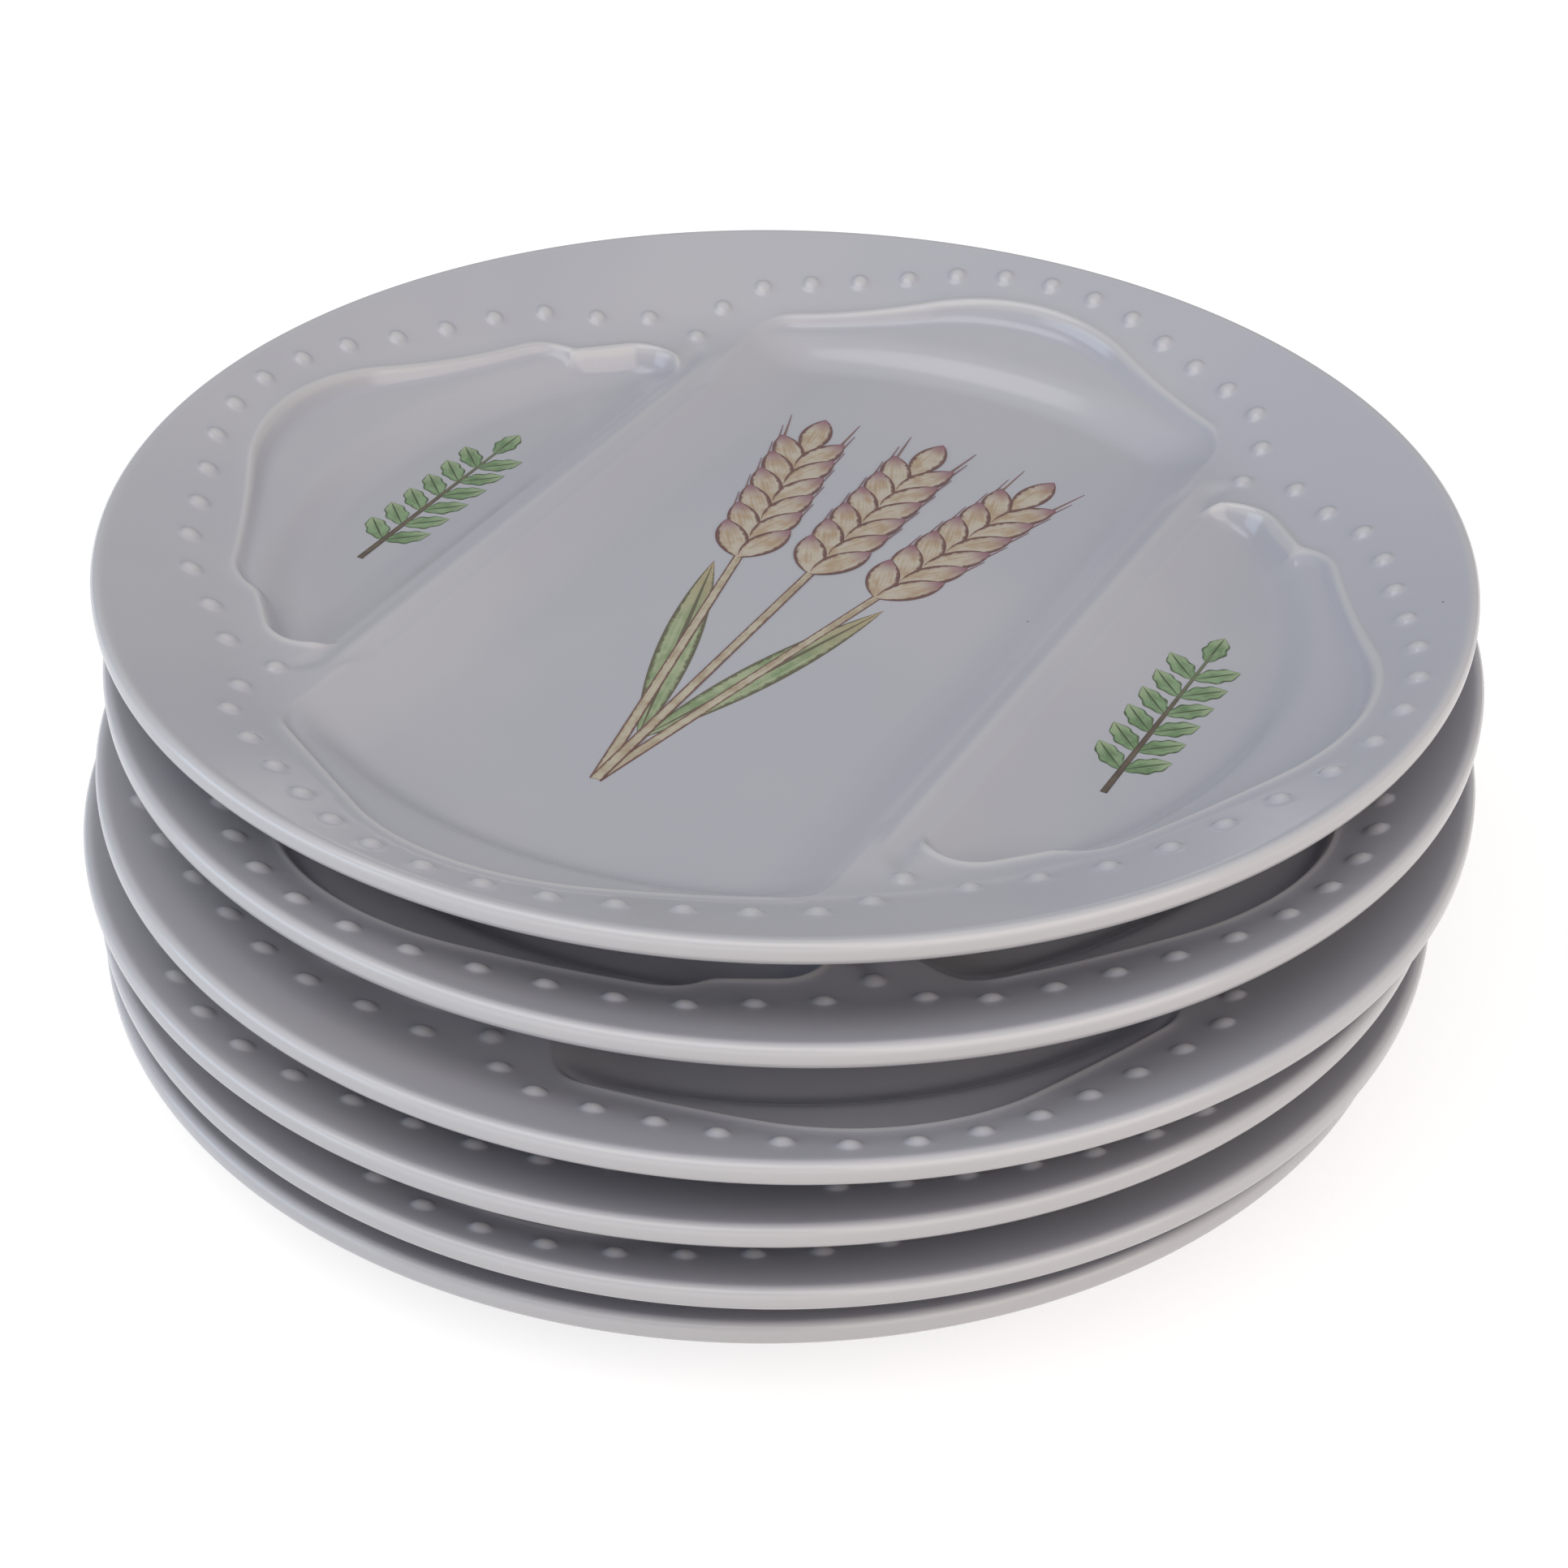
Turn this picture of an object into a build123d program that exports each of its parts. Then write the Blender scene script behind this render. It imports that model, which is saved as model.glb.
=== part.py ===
from build123d import *
import math
import os

# A stack of six round glazed asparagus plates, each turned and set down a
# little off the plate below. A plate is one ceramic dish with a rounded lip, a
# sloping rim with a row of small beads, a long centre well and two side wells
# parted by two straight dividers, and a foot ring below. Three fired-on
# transfers lie on the floors of the wells. Sizes in mm. The plate stands on
# z = 0 with its long well along X; right is +X, back is +Y in the stack.

# Round form of the dish
plate_radius = 130.0
rim_width = 17.4          # from the edge in to the crown of each well's outline
ledge_width = 11.6        # from that crown in to the shoulder above the floor
rim_edge_height = 27.4    # where the line of the rim would meet the plate's edge
rim_slope = 23.8          # degrees
rim_thickness = 6.3       # measured upright
lip_thickness = 4.7
lip_top_round = 1.5
lip_under_round = 2.0
lip_under_width = 9.0     # from the edge inwards, where the rim reaches its thickness
floor_height = 9.0        # top of the well floors above the foot
land_height = 15.0        # tongues of the rim between the wells
land_round = 8.0
verge_slope = 40.0
verge_floor_round = 10.0
verge_shoulder_round = 7.0
ledge_drop = 3.0          # step from the rim down to the ledge at the far end
ledge_slope = 13.0

# Foot
foot_inset = 17.0         # from the shoulder in to the foot's outer side
foot_width = 8.0
foot_height = 3.0
foot_draft = 3.0
foot_round = 1.0
underside_turn_reach = 3.0    # beyond the shoulder, where the underside turns up
underside_round = 12.0

# Outline of the wells, at the height of the land
crown_radius = 45.0
flank_angle = 29.0
shoulder_radius = 11.0
divider_top_width = 5.0
divider_foot_width = 25.0
divider_foot_round = 8.0
lobe_radius = 9.0
lobe_reach = 67.3
cusp_drop = 11.0          # from the lobe's end down to the cusp
cusp_width = 23.5         # from the divider's top to the cusp between the lobes
cusp_beyond = 1.14        # from the centre of the shoulder's arc out to the cusp
wall_draft = 25.0         # degrees from upright

# Beads on the rim
bead_offset = 9.8
bead_radius = 2.6
bead_height = 1.2
beads_per_end_half = 8
beads_per_side_half = 9

# Transfers on the floors
film_thickness = 0.2
ear_length = 60.0
ear_rows = 6
ear_fan_angle = 11.0
grain_length = 15.0
grain_width = 6.6
grain_angle = 27.0
stalk_width = 2.4
print_inset = 31.0        # from the shoulder in to each end of the centre print
blade_length = 64.0
blade_width = 7.5
blade_angle = 17.0
blade_start = 14.0        # up the stalk
sprig_place = 0.328       # share of the room from the divider's foot to the shoulder
sprig_length = 58.0
sprig_stem_width = 1.3
leaflet_share = 0.3       # leaflet's length as a share of the same room
leaflet_width = 4.6
leaflet_pairs = 6
leaflet_angle = 48.0
leaflet_start = 8.0       # up the stem

# The stack, from the bottom plate up
seat_gap = 0.35
plate_1_turn = 125.0
plate_2_turn = 157.9
plate_3_turn = 128.3
plate_4_turn = 100.4
plate_5_turn = 138.0
plate_6_turn = 62.2
plate_1_right = 0.0
plate_1_back = 0.0
plate_2_right = 2.0
plate_2_back = -7.1
plate_3_right = 1.0
plate_3_back = -8.6
plate_4_right = 5.4
plate_4_back = -10.3
plate_5_right = 6.5
plate_5_back = -0.2
plate_6_right = 4.6
plate_6_back = 6.5

well_reach = plate_radius - rim_width
crown_centre = well_reach - crown_radius
flank = math.radians(flank_angle)


def turn_along(shoulder):
    # how far along a scallop's axis the centre of its shoulder arc lies
    beside = shoulder - shoulder_radius
    reach = math.cos(flank) * crown_centre + crown_radius - shoulder_radius
    return (reach - math.sin(flank) * beside) / math.cos(flank)


verge_radius = well_reach - ledge_width
foot_outer_radius = verge_radius - foot_inset
underside_turn_radius = verge_radius + underside_turn_reach
side_shoulder_offset = lobe_reach - cusp_drop
cusp_across = turn_along(side_shoulder_offset) + cusp_beyond
divider_offset = cusp_across - cusp_width - divider_top_width / 2
stalk_base = verge_radius - print_inset
stalk_length = 2 * stalk_base - ear_length
divider_foot = divider_offset + divider_foot_width / 2
sprig_room = verge_radius - divider_foot
sprig_offset = divider_foot + sprig_room * sprig_place
leaflet_length = sprig_room * leaflet_share
slope = math.radians(rim_slope)
rim_rise = math.tan(slope)
land_radius = plate_radius - (rim_edge_height - land_height) / rim_rise
foot_inner_radius = foot_outer_radius - foot_width
top_height = rim_edge_height - lip_top_round * (rim_rise + 1 / math.cos(slope) - 1)
clear_height = top_height + 12.0
lobe_centre_across = divider_offset + divider_top_width / 2 + lobe_radius
lobe_centre_along = lobe_reach - lobe_radius
divider_height = land_height - floor_height


def rim_height(radius):
    return max(land_height, rim_edge_height - (plate_radius - radius) * rim_rise)


def fillet_corners(face, corners):
    # rounds the corners of a flat face, each given as (point, radius)
    for point, radius in corners:
        corner = min(face.vertices(), key=lambda v: (Vector(v) - Vector(*point)).length)
        face = fillet(corner, radius)
    return face


def scallop(shoulder, grow):
    # half of a scalloped end: crown arc, flank and shoulder arc, from the axis
    # outwards, in (along the axis, beside it); grow moves it outwards
    normal = (math.cos(flank), math.sin(flank))
    beside = shoulder - shoulder_radius
    along = turn_along(shoulder)
    crown = crown_radius + grow
    turn = shoulder_radius + grow
    half = flank / 2
    points = {
        "crown": (crown_centre + crown, 0.0),
        "crown_middle": (crown_centre + crown * math.cos(half), crown * math.sin(half)),
        "flank_start": (crown_centre + crown * normal[0], crown * normal[1]),
        "flank_end": (along + turn * normal[0], beside + turn * normal[1]),
        "turn_centre": (along, beside),
    }
    return points


def turn_point(s, grow, angle):
    # point of the shoulder arc
    turn = shoulder_radius + grow
    return s["turn_centre"][0] + turn * math.cos(angle), s["turn_centre"][1] + turn * math.sin(angle)


def lobe(grow):
    # round end of a side well beside the divider, in (across, along), with the
    # straight flank from it to the cusp
    radius = lobe_radius + grow
    away = cusp_across - lobe_centre_across
    down = side_shoulder_offset - lobe_centre_along
    distance = math.hypot(away, down)
    lean = math.atan2(down, away) + math.acos(lobe_radius / distance)
    return radius, lean


def lobe_point(radius, angle):
    across = lobe_centre_across + radius * math.cos(angle)
    return across, lobe_centre_along + radius * math.sin(angle)


def cusp_angle(s, grow):
    # turn of the shoulder arc at which the lobe's flank meets it
    radius, lean = lobe(grow)
    away = s["turn_centre"][0] - lobe_centre_across
    down = s["turn_centre"][1] - lobe_centre_along
    reach = radius - away * math.cos(lean) - down * math.sin(lean)
    return lean + math.acos(reach / (shoulder_radius + grow))


def mirror_path(path, flip):
    # a path is a list of edges given by 2 or 3 points; flip changes the points
    return [[flip(p) for p in reversed(edge)] for edge in reversed(path)]


def path_edges(path, height):
    edges = []
    for points in path:
        lifted = [Vector(p[0], p[1], height) for p in points]
        if len(points) == 2:
            edges.append(Edge.make_line(*lifted))
        else:
            edges.append(Edge.make_three_point_arc(*lifted))
    return edges


def centre_path(grow):
    # one quarter of the centre well's outline, from the crown to the X = 0 line
    s = scallop(divider_offset - divider_top_width / 2, grow)
    turn_middle = turn_point(s, grow, flank / 2 + math.pi / 4)
    turn_end = turn_point(s, grow, math.pi / 2)
    return [
        [s["crown"], s["crown_middle"], s["flank_start"]],
        [s["flank_start"], s["flank_end"]],
        [s["flank_end"], turn_middle, turn_end],
        [turn_end, (0.0, turn_end[1])],
    ]


def side_path(grow):
    # half of a side well's outline at positive X, from its crown to the divider
    s = scallop(side_shoulder_offset, grow)
    radius, lean = lobe(grow)
    cusp = cusp_angle(s, grow)
    turn_middle = turn_point(s, grow, (flank + cusp) / 2)
    turn_end = turn_point(s, grow, cusp)
    lobe_start = lobe_point(radius, lean)
    lobe_middle = lobe_point(radius, (lean + math.pi) / 2)
    lobe_end = lobe_point(radius, math.pi)
    swapped = [
        [s["crown"], s["crown_middle"], s["flank_start"]],
        [s["flank_start"], s["flank_end"]],
        [s["flank_end"], turn_middle, turn_end],
        [turn_end, lobe_start],
        [lobe_start, lobe_middle, lobe_end],
        [lobe_end, (lobe_end[0], 0.0)],
    ]
    return [[(p[1], p[0]) for p in edge] for edge in swapped]


def centre_outline(grow, height):
    quarter = centre_path(grow)
    half = quarter + mirror_path(quarter, lambda p: (-p[0], p[1]))
    loop = half + mirror_path(half, lambda p: (p[0], -p[1]))
    return Wire(path_edges(loop, height))


def side_outline(grow, height):
    half = side_path(grow)
    loop = half + mirror_path(half, lambda p: (-p[0], p[1]))
    return Wire(path_edges(loop, height))


def well_prism(outline):
    # drafted space of a well, from below the floor to above the lip
    draft = math.tan(math.radians(wall_draft))
    low = floor_height - 1.0
    under = Face(outline((low - land_height) * draft, low))
    over = Face(outline((clear_height - land_height) * draft, clear_height))
    return loft([under, over], ruled=True)


def revolved(points, corners):
    # turns a closed outline of (radius, height) points about the plate's axis
    face = Face(Wire.make_polygon([Vector(r, 0, z) for r, z in points], close=True))
    face = fillet_corners(face, [((r, 0, z), rounding) for (r, z), rounding in corners])
    return revolve(face, axis=Axis.Z, revolution_arc=360)


def along_x(points, corners):
    # draws a closed outline of (across, height) points out along the whole plate
    face = Face(Wire.make_polygon([Vector(-plate_radius, y, z) for y, z in points], close=True))
    moved = [((-plate_radius, y, z), rounding) for (y, z), rounding in corners]
    face = fillet_corners(face, moved)
    return extrude(face, amount=2 * plate_radius, dir=(1, 0, 0))


def make_blank():
    # round dish before the wells are sunk
    land_end = (land_radius, land_height)
    edge_top = (plate_radius, rim_edge_height)
    edge_under = (plate_radius, rim_edge_height - lip_thickness)
    thick_radius = plate_radius - lip_under_width
    thick_end = (thick_radius, rim_height(thick_radius) - rim_thickness)
    turn = (underside_turn_radius, rim_height(underside_turn_radius) - rim_thickness)
    foot_outer = (foot_outer_radius, 0.0)
    foot_inner = (foot_inner_radius, 0.0)
    points = [
        (0.0, land_height), land_end, edge_top, edge_under, thick_end, turn, foot_outer, foot_inner,
        (foot_inner_radius - foot_draft, foot_height), (0.0, foot_height),
    ]
    corners = [
        (land_end, land_round), (edge_top, lip_top_round), (edge_under, lip_under_round),
        (thick_end, underside_round), (turn, underside_round),
        (foot_outer, foot_round), (foot_inner, foot_round),
    ]
    return revolved(points, corners)


def make_dish_space():
    # everything above the floors, the verge and the ledges
    ledge_rise = math.tan(math.radians(ledge_slope))
    edge_height = rim_height(well_reach) - ledge_drop
    shoulder = (verge_radius, edge_height - (well_reach - verge_radius) * ledge_rise)
    verge_run = (shoulder[1] - floor_height) / math.tan(math.radians(verge_slope))
    floor_edge = (verge_radius - verge_run, floor_height)
    far = (plate_radius, edge_height + (plate_radius - well_reach) * ledge_rise)
    points = [
        (0.0, floor_height), floor_edge, shoulder, far,
        (plate_radius, clear_height), (0.0, clear_height),
    ]
    return revolved(points, [(floor_edge, verge_floor_round), (shoulder, verge_shoulder_round)])


def make_divider_space():
    # everything above the floors and the flanks of the two dividers
    half_top = divider_top_width / 2
    half_foot = divider_foot_width / 2
    run = half_foot - half_top
    extra = half_top * 0.8
    peak = land_height + divider_height * extra / run
    points = [(-plate_radius, floor_height)]
    corners = []
    for side in (-divider_offset, divider_offset):
        points += [(side - half_foot, floor_height), (side - half_top + extra, peak)]
        points += [(side + half_top - extra, peak), (side + half_foot, floor_height)]
        corners += [((side - half_foot, floor_height), divider_foot_round)]
        corners += [((side + half_foot, floor_height), divider_foot_round)]
    points += [(plate_radius, floor_height), (plate_radius, clear_height), (-plate_radius, clear_height)]
    return along_x(points, corners)


def place_beads():
    # points of one quarter of the bead row, spaced evenly along the outline
    centre = centre_path(bead_offset)[:3]
    side = side_path(bead_offset)
    radius, lean = lobe(bead_offset)
    side_line = divider_offset - divider_top_width / 2 + bead_offset
    offset = side_line - lobe_centre_across
    notch_along = lobe_centre_along + math.sqrt(radius * radius - offset * offset)
    notch = (notch_along, side_line)
    notch_angle = math.atan2(notch_along - lobe_centre_along, offset)
    middle = lobe_point(radius, (notch_angle + lean) / 2)
    end_walk = Wire(path_edges(centre + [[centre[-1][-1], notch]], 0.0))
    lobe_part = [[side[3][-1], (middle[1], middle[0]), notch]]
    side_walk = Wire(path_edges(side[:4] + lobe_part, 0.0))
    points = []
    for k in range(beads_per_end_half + 1):
        points.append(end_walk.position_at(k / beads_per_end_half))
    for k in range(beads_per_side_half):
        points.append(side_walk.position_at(k / beads_per_side_half))
    return points


def make_beads():
    beads = []
    for point in place_beads():
        for sign_x in (1, -1):
            for sign_y in (1, -1):
                if (sign_x < 0 and abs(point.X) < 1e-6) or (sign_y < 0 and abs(point.Y) < 1e-6):
                    continue
                x, y = sign_x * point.X, sign_y * point.Y
                radius = math.hypot(x, y)
                lean = slope if radius > land_radius else 0.0
                sunk = bead_radius - bead_height
                inward = sunk * math.sin(lean)
                place = (
                    x + x / radius * inward, y + y / radius * inward,
                    rim_height(radius) - sunk * math.cos(lean),
                )
                beads.append(Pos(*place) * Sphere(bead_radius))
    return beads


def make_dish():
    dish = make_blank()
    space = make_dish_space() & make_divider_space()
    other_side = Rot(0, 0, 180)
    side = well_prism(side_outline)
    for prism in (well_prism(centre_outline), side, other_side * side):
        dish = dish - (space & prism)
    dish = dish + make_beads()
    return dish.solids()[0]


def lens(length, width):
    # pointed oval from the origin along +X
    tip = Vector(length, 0, 0)
    lower = Edge.make_three_point_arc(Vector(0, 0, 0), Vector(length / 2, -width / 2, 0), tip)
    upper = Edge.make_three_point_arc(tip, Vector(length / 2, width / 2, 0), Vector(0, 0, 0))
    return Face(Wire([lower, upper]))


def strip(length, width):
    return Pos(length / 2, 0, 0) * Rectangle(length, width)


def make_ear():
    # stalk with its ear: grains in pairs up the stalk and one at the tip
    pitch = (ear_length - grain_length) / ear_rows
    shapes = [strip(stalk_length + ear_length - grain_length / 2, stalk_width)]
    for row in range(ear_rows):
        for side in (1, -1):
            shapes.append(Pos(stalk_length + row * pitch, 0, 0) * Rot(0, 0, side * grain_angle) * lens(
                grain_length, grain_width))
    shapes.append(Pos(stalk_length + ear_rows * pitch, 0, 0) * lens(grain_length, grain_width))
    return shapes


def make_film(shapes, place):
    # one flat film on the floor, in the joined outline of its shapes
    films = [extrude(place * shape, amount=film_thickness, dir=(0, 0, 1)) for shape in shapes]
    film = films[0].fuse(*films[1:]).clean()
    return (Pos(0, 0, floor_height) * film).solids()[0]


def make_centre_print():
    shapes = []
    for fan in (-ear_fan_angle, 0.0, ear_fan_angle):
        shapes += [Rot(0, 0, fan) * shape for shape in make_ear()]
    blade = lens(blade_length, blade_width)
    for side in (1, -1):
        shapes.append(Pos(blade_start, 0, 0) * Rot(0, 0, side * blade_angle) * blade)
    return make_film(shapes, Pos(-stalk_base, 0, 0))


def make_sprig(side):
    shapes = [strip(sprig_length - leaflet_length / 2, sprig_stem_width)]
    pitch = (sprig_length - leaflet_length - leaflet_start) / leaflet_pairs
    for row in range(leaflet_pairs):
        for hand in (1, -1):
            shapes.append(Pos(leaflet_start + row * pitch, 0, 0) * Rot(0, 0, hand * leaflet_angle) * lens(
                leaflet_length, leaflet_width))
    shapes.append(Pos(sprig_length - leaflet_length, 0, 0) * lens(leaflet_length, leaflet_width))
    return make_film(shapes, Pos(-sprig_length / 2, side * sprig_offset, 0))


turns = [plate_1_turn, plate_2_turn, plate_3_turn, plate_4_turn, plate_5_turn, plate_6_turn]
rights = [plate_1_right, plate_2_right, plate_3_right, plate_4_right, plate_5_right, plate_6_right]
backs = [plate_1_back, plate_2_back, plate_3_back, plate_4_back, plate_5_back, plate_6_back]
middle_right = (min(rights) + max(rights)) / 2
middle_back = (min(backs) + max(backs)) / 2

pieces = {
    "dish": make_dish(),
    "centre_print": make_centre_print(),
    "left_sprig": make_sprig(1),
    "right_sprig": make_sprig(-1),
}

# Each foot ring stands on the tops of the two dividers below it
stack_pitch = land_height + seat_gap
os.makedirs("parts", exist_ok=True)
for number in range(len(turns)):
    height = number * stack_pitch
    place = Pos(rights[number] - middle_right, backs[number] - middle_back, height) * Rot(0, 0, turns[number])
    for name, piece in pieces.items():
        export_step(place * piece, f"parts/plate_{number + 1}_{name}.step")
print(f"one plate {top_height:.2f} mm high, stack {top_height + (len(turns) - 1) * stack_pitch:.2f} mm high")
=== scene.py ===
import bpy
import bmesh
import math
import numpy as np
from mathutils import Matrix, Vector
from mathutils.geometry import delaunay_2d_cdt


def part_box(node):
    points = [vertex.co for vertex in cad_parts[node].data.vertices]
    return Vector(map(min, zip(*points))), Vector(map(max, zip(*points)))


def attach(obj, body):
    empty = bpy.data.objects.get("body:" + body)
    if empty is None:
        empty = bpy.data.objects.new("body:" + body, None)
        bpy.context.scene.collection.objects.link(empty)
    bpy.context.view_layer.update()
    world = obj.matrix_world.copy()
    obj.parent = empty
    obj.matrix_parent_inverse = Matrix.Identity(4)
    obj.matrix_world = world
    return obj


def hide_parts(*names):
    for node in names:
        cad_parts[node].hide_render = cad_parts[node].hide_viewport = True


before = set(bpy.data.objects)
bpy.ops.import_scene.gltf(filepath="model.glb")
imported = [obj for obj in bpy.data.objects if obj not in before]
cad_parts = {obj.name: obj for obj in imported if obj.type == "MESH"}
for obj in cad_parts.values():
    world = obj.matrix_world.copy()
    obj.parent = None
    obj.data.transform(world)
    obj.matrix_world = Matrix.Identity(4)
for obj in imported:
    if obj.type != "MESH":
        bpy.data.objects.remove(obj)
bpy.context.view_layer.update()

mm = 0.001

# how the plates lie in the stack, bottom first: turn in degrees of each long well
stackForm = {
    "turns": [125.0, 157.9, 128.3, 100.4, 138.0, 62.2],
}

# round form of one dish, in mm, foot on z = 0, long well along x
dishForm = {
    "edgeRadius": 129.96,
    "rimEdge": 27.38,
    "rimSlope": 23.8,
    "rimThickness": 6.3,
    "lipThickness": 4.7,
    "lipTopRound": 1.55,
    "lipUnderRound": 2.0,
    "lipUnderWidth": 9.0,
    "floorHeight": 9.0,
    "landHeight": 15.0,
    "vergeRadius": 101.0,
    "vergeSlope": 40.0,
    "ledgeDrop": 3.0,
    "ledgeSlope": 13.0,
    "footRadius": 84.0,
    "footWidth": 8.0,
    "footHeight": 3.0,
    "footDraft": 3.0,
    "footRound": 1.0,
    "footInnerRound": 1.5,
    "turnRadius": 104.0,
    "turnRound": 12.0,
    "topRadius": 126.6,     # relief inside this circle, turned lip and foot outside it
    "lipSteps": 6,
    "roundSteps": 3,
    "turnSteps": 400,       # round the plate
    "weld": 0.01,
    "bareBelow": 0.05,      # the foot's bearing face has no glaze
}

# outline of the wells at land height, in mm
wellForm = {
    "reach": 112.6,
    "crownRadius": 45.0,
    "flankAngle": 29.0,
    "shoulderRadius": 11.0,
    "sideShoulder": 56.3,
    "dividerOffset": 56.5,
    "dividerTop": 5.0,
    "dividerFoot": 25.0,
    "crestSlope": 0.42,     # the divider's top is rounded over, not flat
    "crestRound": 0.6,
    "crestDrop": 1.3,
    "crestFade": (5.0, 9.5),    # from the wells outwards
    "lobeRadius": 9.0,
    "lobeReach": 67.3,
    "cuspWidth": 23.5,
    "wallDraft": 25.0,
    "weltHeight": 0.55,     # glaze stands up in a fine welt round each well
    "weltWidth": 0.75,
    "weltOffset": 0.55,
    "weltFade": (0.5, 2.0),     # no welt where a well is shallower than this
}

# how softly the glaze rounds each kind of edge, in mm of height
glazeSoftness = {
    "land": 3.0,
    "floor": 2.0,
    "shoulder": 1.2,
    "divider": 4.0,
    "wallFoot": 1.8,
    "wallTop": 1.3,
    "bead": 0.5,
}

beadForm = {
    "offset": 9.8,
    "radius": 2.6,
    "height": 1.05,
    "reach": 4.0,
    "perEndHalf": 8,
    "perSideHalf": 9,
    "lineStep": 0.2,
}

# how closely the relief is sampled, in mm
reliefGrid = {
    "spacing": 1.4,
    "rowShare": 0.866,
    "along": 1.3,
    "bands": (-3.7, -2.7, -1.95, -1.35, -0.9, -0.5, -0.15, 0.2, 0.6, 1.0, 1.5, 2.1),
    "bandSlack": 0.06,
    "bandGaps": (0.6, 0.5),     # free of the grid inside and outside the bands
    "beadRings": ((0.0, 1), (0.55, 6), (1.05, 10), (1.5, 14), (1.85, 16), (2.2, 16), (2.65, 16)),
    "beadGap": 3.3,
    "borderGaps": (1.0, 0.3),   # for the grid, and for any point
    "cell": 0.22,               # one point at most in each
    "merge": 1e-5,
}

slope = math.tan(math.radians(dishForm["rimSlope"]))
draft = math.tan(math.radians(wellForm["wallDraft"]))
flank = math.radians(wellForm["flankAngle"])
crownCentre = wellForm["reach"] - wellForm["crownRadius"]
centreShoulder = wellForm["dividerOffset"] - wellForm["dividerTop"] / 2
dividerLine = wellForm["dividerOffset"] + wellForm["dividerTop"] / 2
lobeCentre = (dividerLine + wellForm["lobeRadius"], wellForm["lobeReach"] - wellForm["lobeRadius"])
cuspAcross = dividerLine + wellForm["cuspWidth"]
cuspAway = cuspAcross - lobeCentre[0]
cuspDown = wellForm["sideShoulder"] - lobeCentre[1]
lobeLean = math.atan2(cuspDown, cuspAway) + math.acos(wellForm["lobeRadius"] / math.hypot(cuspAway, cuspDown))


def softMax(a, b, soft):
    share = np.clip(0.5 + 0.5 * (a - b) / soft, 0.0, 1.0)
    return b + (a - b) * share + soft * share * (1.0 - share)


def softMin(a, b, soft):
    return -softMax(-a, -b, soft)


def rimLine(radius):
    return dishForm["rimEdge"] - (dishForm["edgeRadius"] - radius) * slope


def turnCentre(shoulder):
    beside = shoulder - wellForm["shoulderRadius"]
    reach = math.cos(flank) * crownCentre + wellForm["crownRadius"] - wellForm["shoulderRadius"]
    return (reach - math.sin(flank) * beside) / math.cos(flank), beside


def arcReach(along, beside, centre, radius, start, end):
    # signed distance beyond an arc whose normals run from start to end
    away, up = along - centre[0], beside - centre[1]
    middle, half = (start + end) / 2, (end - start) / 2
    angle = (np.arctan2(up, away) - middle + math.pi) % (2 * math.pi) - math.pi
    angle = middle + np.clip(angle, -half, half)
    return away * np.cos(angle) + up * np.sin(angle) - radius


def scallopReach(along, beside, shoulder):
    crown = arcReach(along, beside, (crownCentre, 0.0), wellForm["crownRadius"], 0.0, flank)
    turn = arcReach(along, beside, turnCentre(shoulder), wellForm["shoulderRadius"], flank, math.pi / 2)
    return np.maximum(crown, turn)


def centreReach(x, y):
    return scallopReach(np.abs(x), np.abs(y), centreShoulder)


def sideReach(x, y):
    across, along = np.abs(y), np.abs(x)
    body = np.maximum(scallopReach(across, along, wellForm["sideShoulder"]), dividerLine - across)
    lobe = arcReach(across, along, lobeCentre, wellForm["lobeRadius"], lobeLean, math.pi)
    lobe = np.maximum(lobe, across - cuspAcross)
    return np.minimum(body, lobe)


def cuspAngle(grow):
    centre = turnCentre(wellForm["sideShoulder"])
    away, down = centre[0] - lobeCentre[0], centre[1] - lobeCentre[1]
    reach = wellForm["lobeRadius"] + grow - away * math.cos(lobeLean) - down * math.sin(lobeLean)
    return lobeLean + math.acos(reach / (wellForm["shoulderRadius"] + grow))


def walkArc(centre, radius, start, end, step):
    count = max(2, int(abs(end - start) * radius / step + 0.5))
    angles = np.linspace(start, end, count, endpoint=False)
    normals = np.stack([np.cos(angles), np.sin(angles)], 1)
    return np.array(centre) + radius * normals, normals


def walkLine(first, last, normal, step):
    first, last = np.array(first), np.array(last)
    count = max(2, int(np.linalg.norm(last - first) / step + 0.5))
    share = np.linspace(0.0, 1.0, count, endpoint=False)[:, None]
    return first + (last - first) * share, np.tile(normal, (count, 1))


def arcEnd(centre, radius, angle):
    return centre[0] + radius * math.cos(angle), centre[1] + radius * math.sin(angle)


def scallopWalk(shoulder, turnTo, step, grow=0.0):
    # crown, flank and shoulder arc of half a scalloped end
    centre = turnCentre(shoulder)
    crown, turn = wellForm["crownRadius"] + grow, wellForm["shoulderRadius"] + grow
    normal = (math.cos(flank), math.sin(flank))
    flankStart, flankEnd = arcEnd((crownCentre, 0.0), crown, flank), arcEnd(centre, turn, flank)
    return [
        walkArc((crownCentre, 0.0), crown, 0.0, flank, step),
        walkLine(flankStart, flankEnd, normal, step),
        walkArc(centre, turn, flank, turnTo, step),
    ]


def centreWalk(step):
    centre = turnCentre(centreShoulder)
    parts = scallopWalk(centreShoulder, math.pi / 2, step)
    parts.append(walkLine((centre[0], centreShoulder), (0.0, centreShoulder), (0.0, 1.0), step))
    return np.concatenate([p for p, n in parts]), np.concatenate([n for p, n in parts])


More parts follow.
